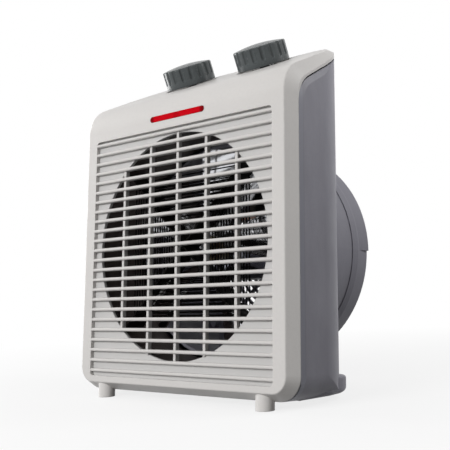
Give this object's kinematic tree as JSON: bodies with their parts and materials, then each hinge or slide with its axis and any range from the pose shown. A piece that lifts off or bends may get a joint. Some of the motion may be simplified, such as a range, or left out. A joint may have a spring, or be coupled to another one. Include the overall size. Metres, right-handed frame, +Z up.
{
  "type": "fan heater",
  "caption": "Upright fan heater: slatted round outlet in a bent front cover, grey rear housing with an intake drum, wire element, motor fan and turning control knobs.",
  "frame": {"origin": "on the floor, under the middle of the whole heater", "axes": "+Z up, -Y out of the slatted front, +X to the right as seen from the front"},
  "size_m": [0.2178, 0.1456, 0.28],
  "materials": {
    "cover_white": "satin off-white moulding",
    "housing_grey": "fine textured grey moulding",
    "grille_grey": "fine textured grey moulding",
    "foot_white": "satin off-white moulding",
    "lens_red": "clear red, glossy",
    "lamp_glass": "clear",
    "holder_plastic": "satin",
    "knob_grey": "semi gloss",
    "shaft_black": "satin",
    "control_black": "satin",
    "bimetal": "bare",
    "screw_steel": "zinc plated",
    "duct_steel": "bare sheet, dulled by heat",
    "mica": "flaky sheet",
    "wire": "resistance wire, oxidised",
    "terminal": "plated",
    "cutout_black": "satin",
    "fuse": "satin",
    "fan_aluminium": "polished sheet",
    "brass": "turned",
    "steel": "ground",
    "core_steel": "laminated",
    "bobbin_plastic": "satin",
    "copper": "enamelled copper",
    "bracket_alloy": "die cast",
    "gland_black": "satin",
    "block_white": "satin",
    "lead_white": "sleeved",
    "lead_brown": "sleeved"
  },
  "bodies": {
    "heater": {"front_cover": "cover_white", "rear_housing": "housing_grey", "rear_grille": "grille_grey", "front_foot_left": "foot_white", "front_foot_right": "foot_white", "indicator_lens": "lens_red", "lamp_holder": "holder_plastic", "neon_lamp": "lamp_glass", "selector_body": "control_black", "thermostat_body": "control_black", "bimetal_strip": "bimetal", "control_screws": "screw_steel", "heater_duct": "duct_steel", "mica_board_a": "mica", "mica_board_b": "mica", "heating_wire_front": "wire", "heating_wire_rear": "wire", "element_terminals": "terminal", "thermal_cutout": "cutout_black", "thermal_fuse": "fuse", "duct_screws": "screw_steel", "motor_stator": "core_steel", "motor_bobbin": "bobbin_plastic", "motor_winding": "copper", "front_bearing_bracket": "bracket_alloy", "rear_bearing_bracket": "bracket_alloy", "front_bush": "brass", "rear_bush": "brass", "motor_mount": "steel", "mount_screws": "screw_steel", "motor_screws": "screw_steel", "housing_screws": "screw_steel", "grille_screws": "screw_steel", "cord_gland": "gland_black", "gland_nut": "gland_black", "terminal_block": "block_white", "heat_lead_front": "lead_white", "heat_lead_rear": "lead_white", "link_lead": "lead_brown", "supply_lead": "lead_brown"},
    "selector_dial": {"selector_knob": "knob_grey", "selector_shaft": "shaft_black"},
    "thermostat_dial": {"thermostat_knob": "knob_grey", "thermostat_shaft": "shaft_black"},
    "fan_rotor": {"fan_impeller": "fan_aluminium", "fan_hub": "brass", "fan_clip": "steel", "motor_shaft": "steel", "motor_rotor": "core_steel"}
  },
  "joints": [
    {"name": "selector_turn", "type": "hinge", "parent": "heater", "child": "selector_dial", "pos_m": [-0.0398, 0.00508, 0.25697], "axis": [0, 0.3724, -0.9281], "range_deg": [0, 180]},
    {"name": "thermostat_turn", "type": "hinge", "parent": "heater", "child": "thermostat_dial", "pos_m": [0.0398, 0.00508, 0.25697], "axis": [0, 0.3724, -0.9281], "range_deg": [0, 270]},
    {"name": "fan_spin", "type": "hinge", "parent": "heater", "child": "fan_rotor", "pos_m": [0, -0.06472, 0.11614], "axis": [0, 0.997, -0.0774], "continuous": true}
  ]
}
